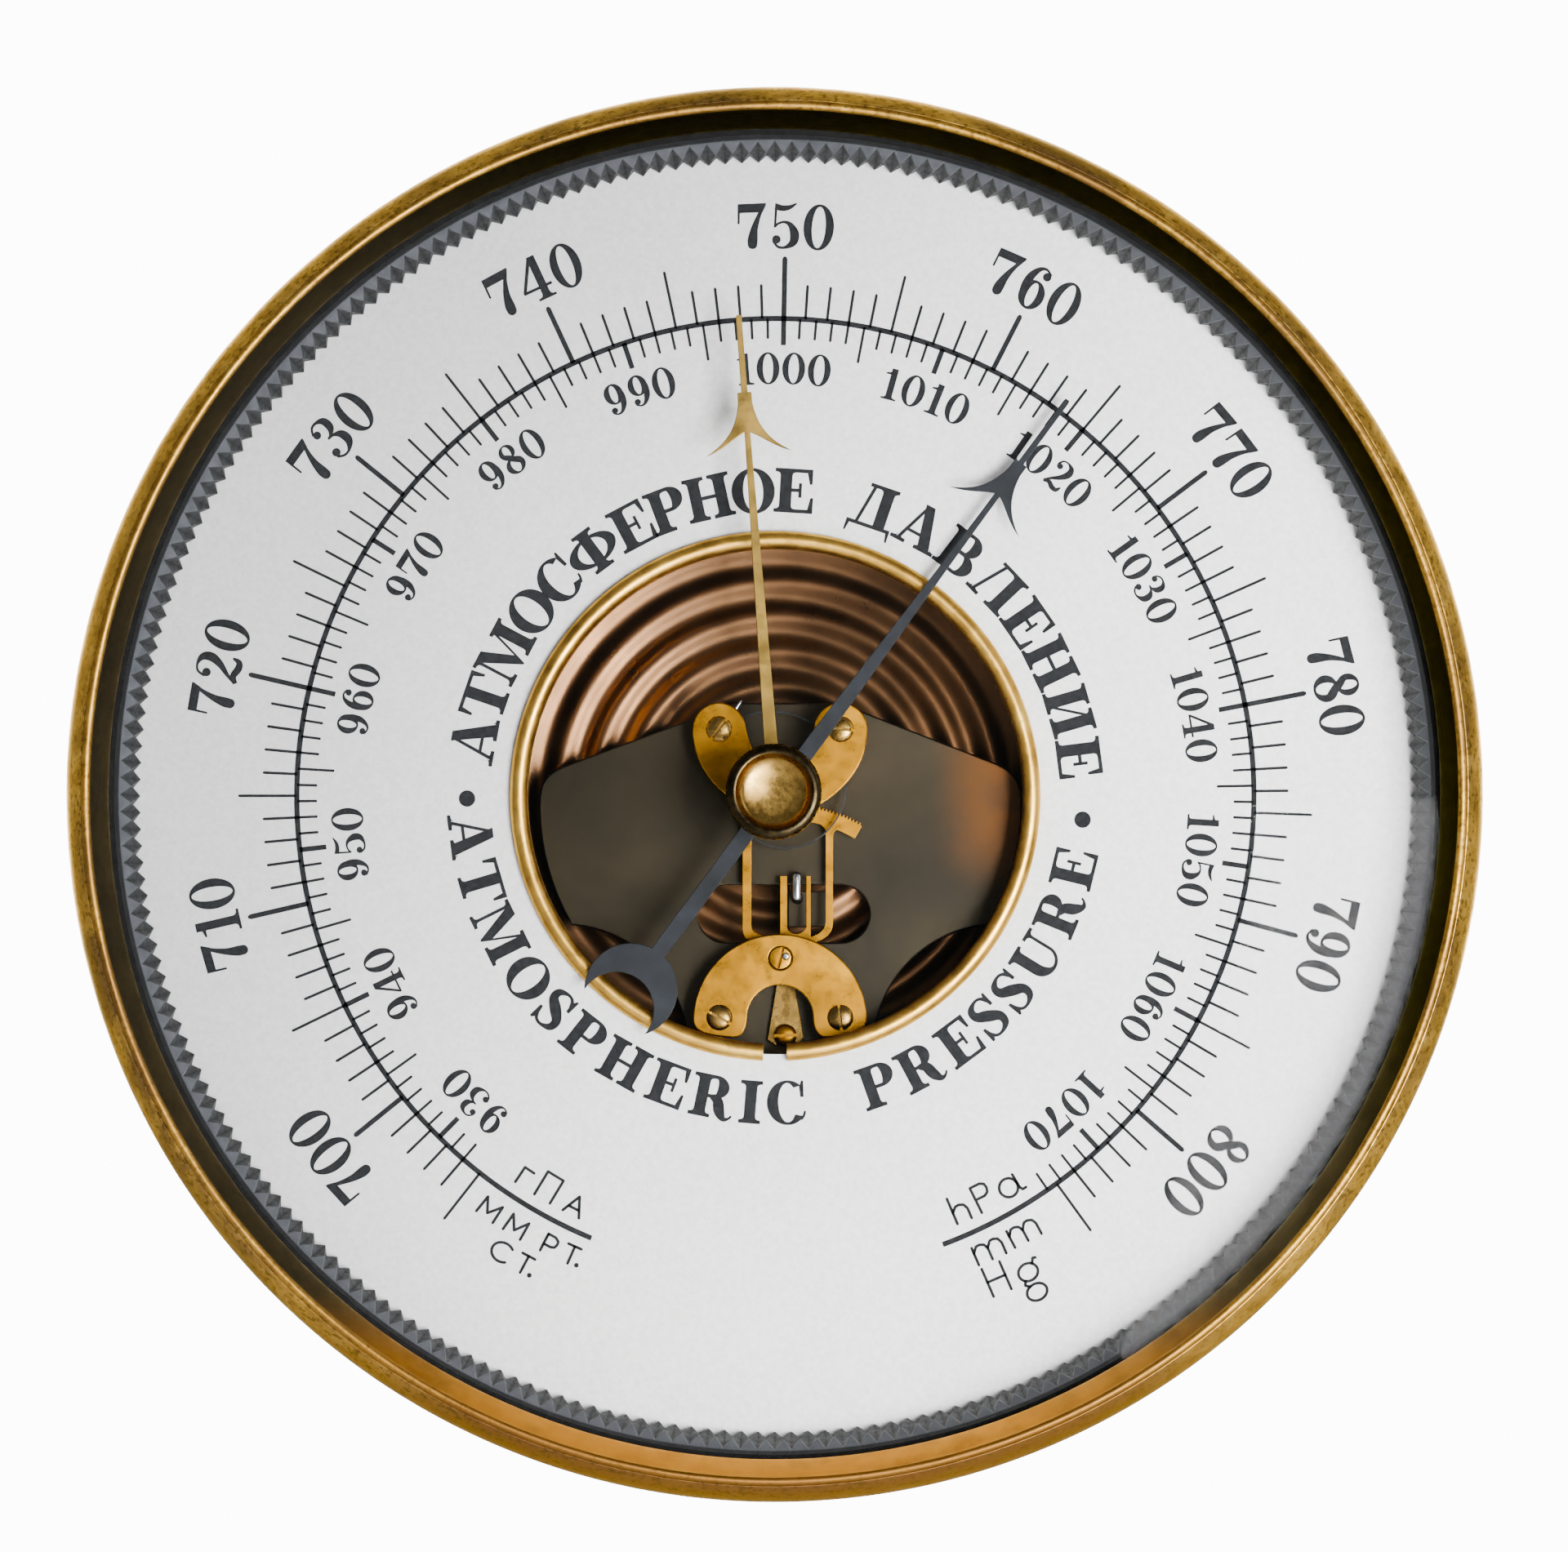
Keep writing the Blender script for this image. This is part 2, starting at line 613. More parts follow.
def rect(x0, y0, x1, y1):
    return [[(x0, y0), (x1, y0), (x1, y1), (x0, y1)]]


def band(centre, outer, inner, start, end, steps=20):
    """The part between two ellipses of one centre, as quads."""
    a, b = arc(centre, outer, start, end, steps), arc(centre, inner, start, end, steps)
    return [[a[i], a[i + 1], b[i + 1], b[i]] for i in range(steps)]


def dot(x, y, r):
    return [arc((x, y), r, 0, 360, 18)]


def brush(*knots, steps=6):
    """A smooth stroke through (x, y, width) knots, as quads."""
    ks = [knots[0], *knots, knots[-1]]
    line = []
    for a, b, c, d in zip(ks, ks[1:], ks[2:], ks[3:]):
        for i in range(steps):
            t = i / steps
            line.append([
                0.5 * (2 * b[k] + (c[k] - a[k]) * t + (2 * a[k] - 5 * b[k] + 4 * c[k] - d[k]) * t * t
                    + (3 * b[k] - a[k] - 3 * c[k] + d[k]) * t**3)
                for k in range(3)
            ])
    line.append(list(knots[-1]))
    sides = []
    for i, (x, y, w) in enumerate(line):
        before, after = line[max(i - 1, 0)], line[min(i + 1, len(line) - 1)]
        along = Vector((after[0] - before[0], after[1] - before[1])).normalized()
        sides.append(((x - along.y * w / 2, y + along.x * w / 2), (x + along.y * w / 2, y - along.x * w / 2)))
    return [[a[0], b[0], b[1], a[1]] for a, b in zip(sides, sides[1:])]


def foot(x0, x1, y, up=1, reach=0.12, thick=THIN, bracket=0.07):
    """A slab serif at the end of a stem that spans x0 to x1, with curved brackets."""
    slab = rect(x0 - reach, min(y, y + up * thick), x1 + reach, max(y, y + up * thick))
    top = y + up * thick
    left = [(x0, top), (x0 - bracket, top), (x0 - 0.3 * bracket, top + up * 0.3 * bracket),
            (x0, top + up * bracket)]
    right = [(x1, top), (x1 + bracket, top), (x1 + 0.3 * bracket, top + up * 0.3 * bracket),
            (x1, top + up * bracket)]
    return slab + [left, right]


def stem(x0, x1, y0=0.0, y1=1.0, low=True, high=True, reach=0.12):
    """A vertical stem with feet at its ends."""
    parts = rect(x0, y0, x1, y1)
    if low:
        parts += foot(x0, x1, y0, 1, reach)
    if high:
        parts += foot(x0, x1, y1, -1, reach)
    return parts


def arm_end(x, y, drop, width=0.075):
    """The pointed serif at the end of an arm: it hangs from y by drop."""
    return [[(x, y), (x, y + drop), (x - width * 0.8, y + drop), (x - width * 1.6, y + 0.25 * drop),
            (x - 2.6 * width, y)]]


def mirrored(parts, width):
    return [[(width - x, y) for x, y in p] for p in parts]


def bowl(x, y0, y1, reach, thick=STEM):
    """A bowl to the right of x, between y0 and y1, that reaches to x + reach."""
    middle, half = (y0 + y1) / 2, (y1 - y0) / 2
    corner = x + reach * 0.35
    rx = reach * 0.65
    parts = band((corner, middle), (rx, half), (max(rx - thick, 0.05), half - THIN), -90, 90)
    parts += rect(x, y0, corner + 0.005, y0 + THIN) + rect(x, y1 - THIN, corner + 0.005, y1)
    return parts


def glyph_table():
    """Character to (width, polygons)."""
    nine = (dot(0.2, 0.17, 0.095)
            + band((0.335, 0.665), (0.285, 0.335), (0.105, 0.275), 0, 360, 32)
            + brush((0.53, 0.72, 0.16), (0.55, 0.52, 0.185), (0.52, 0.28, 0.17), (0.41, 0.08, 0.1),
            (0.27, 0.025, 0.055), (0.13, 0.11, 0.06)))
    return {
        "O": (1, band((0.5, 0.5), (0.49, 0.52), (0.225, 0.46), 0, 360, 40)),
        "A": (1.1, [[(0.15, 0.03), (0.235, 0.03), (0.565, 1.02), (0.49, 1.02)],
            [(0.7, 0.03), (0.99, 0.03), (0.66, 1.02), (0.43, 1.02)]]
            + rect(0.26, 0.29, 0.84, 0.365) + foot(0.16, 0.235, 0, reach=0.14) + foot(0.7, 0.98, 0,
            reach=0.1)),
        "T": (0.98, stem(0.355, 0.625, high=False) + rect(0.02, 0.915, 0.96, 1)
            + arm_end(0.98, 1, -0.33) + mirrored(arm_end(0.98, 1, -0.33), 0.98)),
        "M": (1.32, stem(0.15, 0.225) + stem(0.93, 1.2, reach=0.1)
            + [[(0.14, 1), (0.43, 1), (0.735, 0.22), (0.62, 0)],
            [(0.62, 0), (0.66, 0), (1, 1), (0.93, 1)]]),
        "C": (0.93, band((0.5, 0.5), (0.48, 0.52), (0.215, 0.455), 48, 322, 34)
            + [[(0.8, 0.62), (0.88, 0.62), (0.88, 1), (0.83, 1), (0.78, 0.86)]]
            + brush((0.8, 0.1, 0.07), (0.87, 0.19, 0.06), (0.9, 0.3, 0.045))),
        "F1": (1.24, stem(0.485, 0.755) + band((0.62, 0.5), (0.6, 0.345), (0.36, 0.275), 0, 360, 40)),
        "E": (0.93, stem(0.15, 0.42, reach=0.12) + rect(0.15, 0.915, 0.86, 1) + rect(0.15, 0, 0.86, 0.085)
            + rect(0.4, 0.475, 0.62, 0.555) + rect(0.575, 0.35, 0.645, 0.68)
            + arm_end(0.88, 1, -0.34) + arm_end(0.91, 0, 0.36)),
        "P": (0.93, stem(0.15, 0.42, reach=0.12) + bowl(0.4, 0.44, 1, 0.5)),
        "H": (1.13, stem(0.14, 0.41, reach=0.11) + stem(0.72, 0.99, reach=0.11) + rect(0.4, 0.465, 0.73,
            0.55)),
        "D1": (1.12, rect(0.66, 0.05, 0.93, 1) + foot(0.66, 0.93, 1, -1, reach=0.1)
            + [[(0.24, 0.08), (0.315, 0.08), (0.5, 0.95), (0.42, 0.95)]] + rect(0.34, 0.915, 0.7, 1)
            + rect(0.05, 0, 1.07, 0.085)
            + [[(0.05, 0.05), (0.14, 0.05), (0.09, -0.2), (0.05, -0.2)],
            [(1.07, 0.05), (0.98, 0.05), (1.03, -0.2), (1.07, -0.2)]]),
        "B": (1, stem(0.15, 0.42, reach=0.12) + bowl(0.4, 0.47, 1, 0.47) + bowl(0.4, 0, 0.545, 0.54)),
        "L1": (1.14, stem(0.72, 0.99, reach=0.11) + [[(0.17, 0.04), (0.25, 0.04), (0.47, 0.96), (0.39, 0.96)]]
            + rect(0.3, 0.915, 0.75, 1) + foot(0.17, 0.25, 0, reach=0.14)),
        "N1": (1.13, stem(0.14, 0.41, reach=0.11) + stem(0.72, 0.99, reach=0.11)
            + [[(0.4, 0.12), (0.4, 0.25), (0.73, 0.88), (0.73, 0.75)]]),
        "S": (0.74, brush((0.6, 0.8, 0.1), (0.5, 0.94, 0.075), (0.34, 0.965, 0.08), (0.16, 0.86, 0.17),
            (0.16, 0.68, 0.22), (0.37, 0.52, 0.27), (0.58, 0.34, 0.22), (0.57, 0.14, 0.17),
            (0.38, 0.035, 0.08), (0.21, 0.06, 0.075), (0.1, 0.22, 0.09))
            + [[(0.58, 0.66), (0.66, 0.66), (0.66, 1), (0.61, 1), (0.55, 0.88)],
            [(0.05, 0.36), (0.12, 0.36), (0.18, 0.12), (0.11, 0), (0.05, 0)]]),
        "R": (1.06, stem(0.15, 0.42, reach=0.12) + bowl(0.4, 0.46, 1, 0.48)
            + brush((0.5, 0.5, 0.12), (0.66, 0.42, 0.24), (0.74, 0.2, 0.25), (0.86, 0.04, 0.14),
            (0.98, 0.06, 0.06), (1.04, 0.14, 0.05))),
        "I": (0.54, stem(0.135, 0.405, reach=0.12)),
        "U": (1.08, rect(0.15, 0.32, 0.42, 1) + foot(0.15, 0.42, 1, -1, 0.11) + rect(0.82, 0.32, 0.895, 1)
            + foot(0.82, 0.895, 1, -1, 0.14)
            + band((0.5225, 0.34), (0.3725, 0.36), (0.3, 0.28), 180, 360, 20)
            + band((0.56, 0.34), (0.41, 0.35), (0.14, 0.27), 180, 270, 12)),
        "0": (0.72, band((0.36, 0.5), (0.335, 0.51), (0.15, 0.455), 0, 360, 36)),
        "1": (0.6, rect(0.235, 0, 0.425, 1) + foot(0.235, 0.425, 0, reach=0.13, thick=0.06)
            + [[(0.425, 1), (0.33, 1), (0.22, 0.87), (0.09, 0.83), (0.09, 0.79), (0.3, 0.79)]]),
        "2": (0.7, dot(0.2, 0.74, 0.095)
            + brush((0.115, 0.76, 0.06), (0.19, 0.93, 0.055), (0.35, 0.975, 0.06), (0.52, 0.89, 0.16),
            (0.55, 0.7, 0.2), (0.43, 0.48, 0.15), (0.24, 0.28, 0.085), (0.1, 0.1, 0.06))
            + brush((0.09, 0.07, 0.1), (0.24, 0.15, 0.14), (0.42, 0.075, 0.16), (0.56, 0.09, 0.13),
            (0.625, 0.24, 0.045))),
        "3": (0.7, dot(0.18, 0.77, 0.09) + dot(0.16, 0.21, 0.095)
            + brush((0.11, 0.82, 0.05), (0.22, 0.955, 0.055), (0.37, 0.965, 0.07), (0.505, 0.86, 0.16),
            (0.5, 0.67, 0.17), (0.38, 0.55, 0.07), (0.27, 0.53, 0.05))
            + brush((0.27, 0.53, 0.05), (0.42, 0.5, 0.07), (0.545, 0.37, 0.18), (0.54, 0.17, 0.18),
            (0.38, 0.03, 0.07), (0.22, 0.035, 0.055), (0.1, 0.14, 0.06))),
        "4": (0.74, rect(0.4, 0, 0.58, 1) + foot(0.4, 0.58, 0, reach=0.12, thick=0.055)
            + rect(0.03, 0.25, 0.7, 0.315)
            + [[(0.03, 0.25), (0.03, 0.31), (0.4, 0.97), (0.58, 1), (0.5, 0.98), (0.11, 0.31),
            (0.11, 0.25)]]),
        "5": (0.7, dot(0.165, 0.2, 0.095)
            + brush((0.09, 0.17, 0.05), (0.2, 0.04, 0.06), (0.36, 0.03, 0.07), (0.53, 0.14, 0.17),
            (0.56, 0.33, 0.2), (0.47, 0.52, 0.12), (0.34, 0.585, 0.06), (0.2, 0.55, 0.05),
            (0.12, 0.47, 0.05))
            + [[(0.105, 0.46), (0.155, 0.46), (0.175, 0.98), (0.125, 1)]]
            + brush((0.13, 0.93, 0.14), (0.28, 0.89, 0.13), (0.44, 0.91, 0.1), (0.6, 1, 0.03))),
        "9": (0.7, nine),
        "6": (0.7, [[(0.7 - x, 1 - y) for x, y in p] for p in nine]),
        "7": (0.7, [[(0.06, 1), (0.68, 1), (0.68, 0.96), (0.6, 0.8), (0.2, 0.8), (0.1, 0.8),
            (0.085, 0.56), (0.04, 0.56)]]
            + brush((0.645, 0.98, 0.07), (0.52, 0.74, 0.09), (0.41, 0.46, 0.15), (0.36, 0.22, 0.22),
            (0.35, 0.11, 0.21)) + dot(0.35, 0.105, 0.108)),
        "8": (0.7, band((0.35, 0.755), (0.245, 0.25), (0.1, 0.2), 0, 360, 28)
            + band((0.35, 0.265), (0.3, 0.275), (0.13, 0.22), 0, 360, 28)
            + brush((0.17, 0.72, 0.12), (0.35, 0.52, 0.19), (0.54, 0.3, 0.14))),
    }


GLYPHS = glyph_table()
INK_BACK, INK_FRONT = 26.79, 26.83
# The printed dial sits a degree clockwise of the movement.
PRINT_TURN = 1.04
_glyph_solids = {}


class Print:
    """Ink on the dial, collected into one mesh."""

    def __init__(self):
        self.points, self.faces = [], []

    def put(self, points, faces):
        base = len(self.points)
        self.points += points
        self.faces += [[base + i for i in face] for face in faces]

    def outline(self, polygons):
        self.put(*prism(polygons, [], INK_BACK, INK_FRONT))

    def glyph(self, name, height, angle, baseline, inward=False, stretch=1.0):
        """A glyph centred at a dial angle; its top points outwards, or inwards."""
        width, parts = GLYPHS[name]
        if name not in _glyph_solids:
            _glyph_solids[name] = prism(parts, [], INK_BACK, INK_FRONT)
        points, faces = _glyph_solids[name]
        placed = []
        for x, front, z in points:
            u = (x - width / 2) * height * stretch
            v = baseline - z * height if inward else baseline + z * height
            (px, pz), = turned([(-u if inward else u, v)], angle)
            placed.append((px, front, pz))
        self.put(placed, faces)

    def word(self, names, height, start, end, baseline, inward=False):
        """Glyphs spread along an arc, so that the word runs exactly from start to end."""
        radius = baseline + (-0.5 if inward else 0.5) * height
        widths = [GLYPHS[n][0] * height for n in names]
        span = math.radians(abs(end - start)) * radius
        gap = (span - sum(widths)) / (len(names) - 1)
        sign = 1 if end > start else -1
        at = 0.0
        for name, width in zip(names, widths):
            angle = start + sign * math.degrees((at + width / 2) / radius)
            self.glyph(name, height, angle, baseline, inward)
            at += width + gap

    def number(self, text, height, angle, baseline, stretch=1.0, tracking=0.02):
        """Digits centred on a dial angle, each standing on the arc."""
        radius = baseline + 0.5 * height
        widths = [GLYPHS[c][0] * height * stretch for c in text]
        gap = tracking * height
        total = sum(widths) + gap * (len(text) - 1)
        at = -total / 2
        for c, width in zip(text, widths):
            self.glyph(c, height, angle + math.degrees((at + width / 2) / radius), baseline, stretch=stretch)
            at += width + gap

    def tick(self, angle, low, high, width):
        half = width / 2
        points = [(-half, low), (half, low), (half, high - half), (0.5 * half, high), (-0.5 * half, high),
                (-half, high - half)]
        self.outline([turned(points, angle)])

    def stroke(self, line, width, closed=False):
        """A pen line of constant width with round ends."""
        parts = []
        for a, b in zip(line, line[1:] + (line[:1] if closed else [])):
            along = (Vector(b) - Vector(a)).normalized() * (width / 2)
            side = Vector((-along.y, along.x))
            if (Vector(b) - Vector(a)).length > 1e-4:
                parts.append([tuple(Vector(a) + side), tuple(Vector(b) + side), tuple(Vector(b) - side),
                        tuple(Vector(a) - side)])
        parts += [arc(p, width / 2, 0, 360, 10) for p in line]
        self.outline(parts)

    def piece(self, name):
        points = turn_mesh(self.points, PRINT_TURN, (0, 0))
        return make(name, points, self.faces, "ink", "case", sharp=60)


SCALE_RADIUS = 54.5
MMHG_STEP = 2.6
HPA_STEP = 1.95


def add_scales():
    ticks = Print()
    for value in range(695, 806):
        angle = (value - 750) * MMHG_STEP
        if value % 10 == 0:
            ticks.tick(angle, SCALE_RADIUS, 61.6, 0.58)
        elif value % 5 == 0:
            ticks.tick(angle, SCALE_RADIUS, 61.2, 0.32)
        else:
            ticks.tick(angle, SCALE_RADIUS, 58.45, 0.32)
    for value in range(928, 1075):
        angle = (value - 1000) * HPA_STEP
        if value % 10 == 0:
            ticks.outline([turned([(-0.29, 51.45), (0.29, 51.45), (0.29, SCALE_RADIUS),
                    (-0.29, SCALE_RADIUS)], angle)])
        else:
            low = 50.25 if value % 5 == 0 else 52.15
            ticks.outline([turned([(-0.15, low + 0.1), (0, low), (0.15, low + 0.1), (0.15, SCALE_RADIUS),
                    (-0.15, SCALE_RADIUS)], angle)])
    half = 0.31
    end = 158.5
    steps = 300
    ring = []
    for i in range(steps):
        a, b = (-end + 2 * end * (i + k) / steps for k in (0, 1))
        ring.append([polar(a, SCALE_RADIUS - half), polar(b, SCALE_RADIUS - half),
                polar(b, SCALE_RADIUS + half),
                polar(a, SCALE_RADIUS + half)])
    ticks.outline(ring)
    ticks.piece("print_scale")

    numbers = Print()
    for value in range(700, 801, 10):
        numbers.number(str(value), 5.2, (value - 750) * MMHG_STEP, 62.5, tracking=0.03)
    for value in range(930, 1071, 10):
        numbers.number(str(value), 3.62, (value - 1000) * HPA_STEP, 47.0, stretch=1.08, tracking=0.03)
    numbers.piece("print_numbers")


def add_lettering():
    words = Print()
    words.word(["A", "T", "M", "O", "C", "F1", "E", "P", "H", "O", "E"], 5.05, -85.0, 6.3, 32.35)
    words.word(["D1", "A", "B", "L1", "E", "H", "N1", "E"], 5.05, 13.2, 85.6, 32.35)
    words.word(list("ATMOSPHERIC"), 4.9, 266.0, 173.2, 37.4, inward=True)
    words.word(list("PRESSURE"), 4.9, 163.2, 99.0, 37.4, inward=True)
    for angle in (-91.5, 93.4):
        words.outline([arc(polar(angle, 35.1), 0.95, 0, 360, 24)])
    words.piece("print_words")


def bow(width, height, drop):
    """The arch of an n, h or m: from its stem, over the top and down."""
    return [(0, height - drop), (0.3 * width, height - 0.05), (0.55 * width, height),
            (0.85 * width, height - 0.2),
            (width, height - 0.75), (width, 0)]


def add_units():
    """The unit labels at the two ends of the scale, drawn with a pen of constant width."""
    marks = Print()

    def letter(lines, angle, baseline):
        """Lines in millimetres from the letter's left foot; its top points to the dial's centre."""
        for line in lines:
            marks.stroke(turned([(-x, baseline - y) for x, y in line], angle), 0.34)

    em = [[(0, 0), (0.12, 2.1), (1.15, 0.55), (2.2, 2.1), (2.3, 0)]]
    ar = [[(0, 0), (0, 2.1)], [(0, 2.1), (0.95, 2.08), (1.4, 1.8), (1.45, 1.4), (1.3, 1.0), (0.9, 0.85),
            (0, 0.85)]]
    te = [[(0, 0), (0, 2.1)], [(-0.8, 2.1), (0.8, 2.1)]]
    point = arc((0, 0), 0.12, 0, 360, 6)
    letter([[(0, 0), (0, 2.0), (1.25, 2.0)]], 212.9, 52.95)
    letter([[(0, 0), (0, 3.0), (2.05, 3.0), (2.05, 0)]], 210.1, 52.95)
    letter([[(0, 0), (1.02, 2.2), (2.05, 0)], [(0.4, 0.75), (1.65, 0.75)]], 206.1, 52.95)
    letter(em, 214.7, 58.2)
    letter(em, 211.1, 58.2)
    letter(ar, 206.3, 58.2)
    letter(te, 202.9, 58.2)
    letter([point], 201.9, 58.0)
    letter([arc((0, 0), (1.3, 1.1), 50, 310, 18)], 209.8, 60.5)
    letter(te, 207.1, 61.5)
    letter([point], 206.1, 61.3)

    letter([[(0, 0), (0, 3.1)], bow(1.75, 1.95, 0.6)], 155.9, 52.95)
    letter([[(0, 0), (0, 3.1), (1.2, 3.1), (1.65, 2.85), (1.75, 2.35), (1.6, 1.85), (1.15, 1.6), (0, 1.6)]],
            152.6, 52.95)
    letter([arc((0, 1.05), 1.08, 0, 360, 22), [(1.12, 2.15), (1.12, 0.5), (1.3, 0.1), (1.75, 0.1)]], 148.2,
            52.95)
    for angle in (155.5, 151.0):
        letter([[(0, 0), (0, 2.1)], bow(1.7, 2.1, 0.7), [(x + 1.7, y) for x, y in bow(1.7, 2.1, 0.7)]], angle,
                58.2)
    letter([[(0, 0), (0, 3.4)], [(2.2, 0), (2.2, 3.4)], [(0, 1.75), (2.2, 1.75)]], 155.4, 62.15)
    letter([arc((0, 0), (1.15, 1.0), 0, 360, 20), arc((-0.15, -2.45), (1.2, 0.95), 0, 360, 20),
            [(0.85, 0.65), (1.2, 1.2), (1.5, 1.1)], [(-0.75, -0.75), (-1.0, -1.2), (-0.55, -1.6)]], 151.0,
            61.35)
    marks.piece("print_units")


# ------------------------------------------------------------------ case, bezel, dial


def add_case():
    can = lathe("can_body", soften([
        (0, 0), (74, 0), (75, 1), (75, 24.9), (77.6, 24.9), (77.6, 25.7), (74.2, 25.7), (74.2, 1.6), (0, 1.6),
    ], 0.5, 4), "black", "case", "case_can", segments=160)
    cutters = []
    screws = [(30 * math.cos(math.radians(a)), 30 * math.sin(math.radians(a))) for a in (90, 210, 330)]
    for place in screws:
        cutters.append(lathe_mesh([(0, -1), (3.9, -1), (1.8, 1.7), (1.8, 2.4), (0, 2.4)], 32, place))
    cutters.append(lathe_mesh([(0, -1), (2.2, -1), (2.2, 2.4), (0, 2.4)], 32, (0.5, -36.3)))
    for a in (45, 135):
        place = (60 * math.cos(math.radians(a)), 60 * math.sin(math.radians(a)))
        cutters.append(lathe_mesh([(0, -1), (1.5, -1), (1.5, 2.4), (0, 2.4)], 32, place))
    carve(can, *cutters)
    for i, place in enumerate(screws):
        screw = lathe(f"back_screw_{i + 1}", soften([(0, 0.1), (2.9, 0.1), (1.5, 1.5), (1.5, 3.7), (0, 3.7)],
                0.1),
                "steel", "case", f"base_screw_{i + 1}", 48, centre=place)
        points, faces = block_mesh((place[0] - 4, place[0] + 4), (-1, 0.75), (place[1] - 0.4, place[1] + 0.4))
        carve(screw, (turn_mesh(points, 40 * i, place), faces))
    adjuster = tube("calibration_screw", (0, 1.2), (0.6, 16.6), 0.15, "steel", "adjuster", "adjusting_screw",
            32, (0.5, -36.3))
    carve(adjuster, block_mesh((-2, 3), (0, 1.4), (-36.55, -36.05)))

    profile = [(80, 23), (80, 37.2)]
    profile += bezier((80, 37.2), (79.95, 38.6), (79.0, 40.4), (78.2, 41.45), 8)
    profile += [(78.1, 41.5), (78.03, 41.44)]
    profile += arc((77.53, 41.6), 0.5, -20, 195, 12)
    profile += bezier((77.03, 41.4), (76.5, 40.6), (75.6, 39.0), (75.1, 37.9), 6)
    profile += [(77.9, 37.9), (77.9, 23)]
    lathe("bezel_ring", soften(profile, 0.12, 2, closed=True), "bezel", "case", "bezel",
          384, closed=True, sharp=50)
    tube("back_ring", (75.3, 77.6), (23.3, 24.6), 0.2, "rim", "case", "retaining_ring", 192)
    tube("glass_pane", (2.6, 77.4), (35.6, 37.6), 0.2, "glass", "case", "glass", 192)
    tube("seal_ring", (74.7, 77.2), (35.0, 35.3), 0.08, "rubber", "case", "gasket", 192)


def add_toothed_ring():
    """240 pointed teeth below a conical chamfer."""
    teeth = 240
    pitch = 360 / teeth
    points, faces = [], []

    def vertex(angle, radius, front):
        x, z = polar(angle, radius)
        points.append((x, front, z))
        return len(points) - 1

    rows = []
    for i in range(teeth):
        mid, side = i * pitch, (i + 0.5) * pitch
        rows.append({
            "outer_low": (vertex(mid, 77, 27.1), vertex(side, 77, 27.1)),
            "outer_high": (vertex(mid, 77, 34.7), vertex(side, 77, 34.7)),
            "edge": (vertex(mid, 74.95, 34.7), vertex(side, 74.95, 34.7)),
            "apex": vertex(mid, 74.35, 33.9),
            "notch": vertex(side, 73.1, 31.9),
            "notch_low": vertex(side, 73.1, 27.1),
            "tip": vertex(mid, 72.3, 27.1),
            "tip_high": vertex(mid, 72.3, 27.6),
        })
    for here, there in zip(rows, rows[1:] + rows[:1]):
        for low, high in (("outer_low", "outer_high"), ("outer_high", "edge")):
            a, b = here[low], here[high]
            faces += [[a[0], a[1], b[1], b[0]], [a[1], there[low][0], there[high][0], b[1]]]
        faces.append([here["edge"][0], here["edge"][1], here["notch"], here["apex"]])
        faces.append([here["edge"][1], there["edge"][0], there["apex"], here["notch"]])
        for owner in (here, there):
            faces.append([owner["apex"], here["notch"], owner["tip_high"]])
            faces.append([owner["tip_high"], here["notch"], here["notch_low"], owner["tip"]])
        faces.append([here["tip"], here["notch_low"], here["outer_low"][1], here["outer_low"][0]])
        faces.append([here["notch_low"], there["tip"], there["outer_low"][0], here["outer_low"][1]])
    make("toothed_ring", points, faces, "grey", "case", "spacer_ring", sharp=12)


def add_dial():
    tube("dial_plate", (29.4, 76.8), (26, 26.8), 0.12, "enamel", "case", "dial", 256)
    profile = [(28.2, 25.2), (28.35, 25), (28.85, 25), (29, 25.2), (29, 27.1), (30.2, 27.1)]
    profile += arc((29.2, 27.3), 1.0, 0, 180, 14)
    split = math.degrees(1.35 / 29.2)
    lathe("split_rim", profile, "rim", "case", "window_rim", 200,
            closed=True, span=(-180 + split, 180 - split))


# ------------------------------------------------------------------ movement


def wave_profile(mean, amplitude, low, high, step=0.12):
    """(radius, front) points of the capsule's corrugation."""
    count = round((high - low) / step)
    radii = [low + (high - low) * i / count for i in range(count + 1)]
    return [(r, mean + amplitude * math.cos(2 * math.pi * (r - 13.3) / 3.97)) for r in radii]


def add_capsule():
    front = wave_profile(12.6, 0.2, 11.3, 30.2)[::-1]
    inner = wave_profile(12.05, 0.2, 11.3, 29.18, 0.5)
    lathe("capsule_diaphragm", [(0, 12.9), (5.4, 12.9), (6.3, 12.1), *inner, (31.2, 11.3), (32.9, 10.9),
            (32.9, 11.6)]
          + soften([(32.9, 11.6), (31.2, 12.0), front[0]], 0.4)[1:-1] + front
          + soften([front[-1], (9.4, 12.1), (6.5, 12.5), (5.7, 13.6), (0, 13.6)], 0.4, 5)[1:],
          "copper", "capsule_front", "capsule_front", 192)
    back = wave_profile(7.0, -0.6, 11.3, 29.2, 0.4)
    lathe("capsule_pan", [(0, 2.2), (3, 2.2), (3, 6), (7, 6.2), *back, (32, 8.4), (33.2, 9.4), (33.8, 9.6),
            (33.8, 12.4), (33.7, 12.6), (33.3, 12.6), (33.2, 12.4), (33.2, 10.3), (30, 8.9), (8, 8.3),
            (0, 8.3)], "copper", "case", "capsule_back", 160)
    lathe("contact_stud", soften([(0, 13.8), (2.2, 13.8), (2.2, 14.2), (0.8, 14.4), (0.35, 15.1), (0, 15.1)],
            0.1),
          "steel", "capsule_front", "capsule_stem", 32)


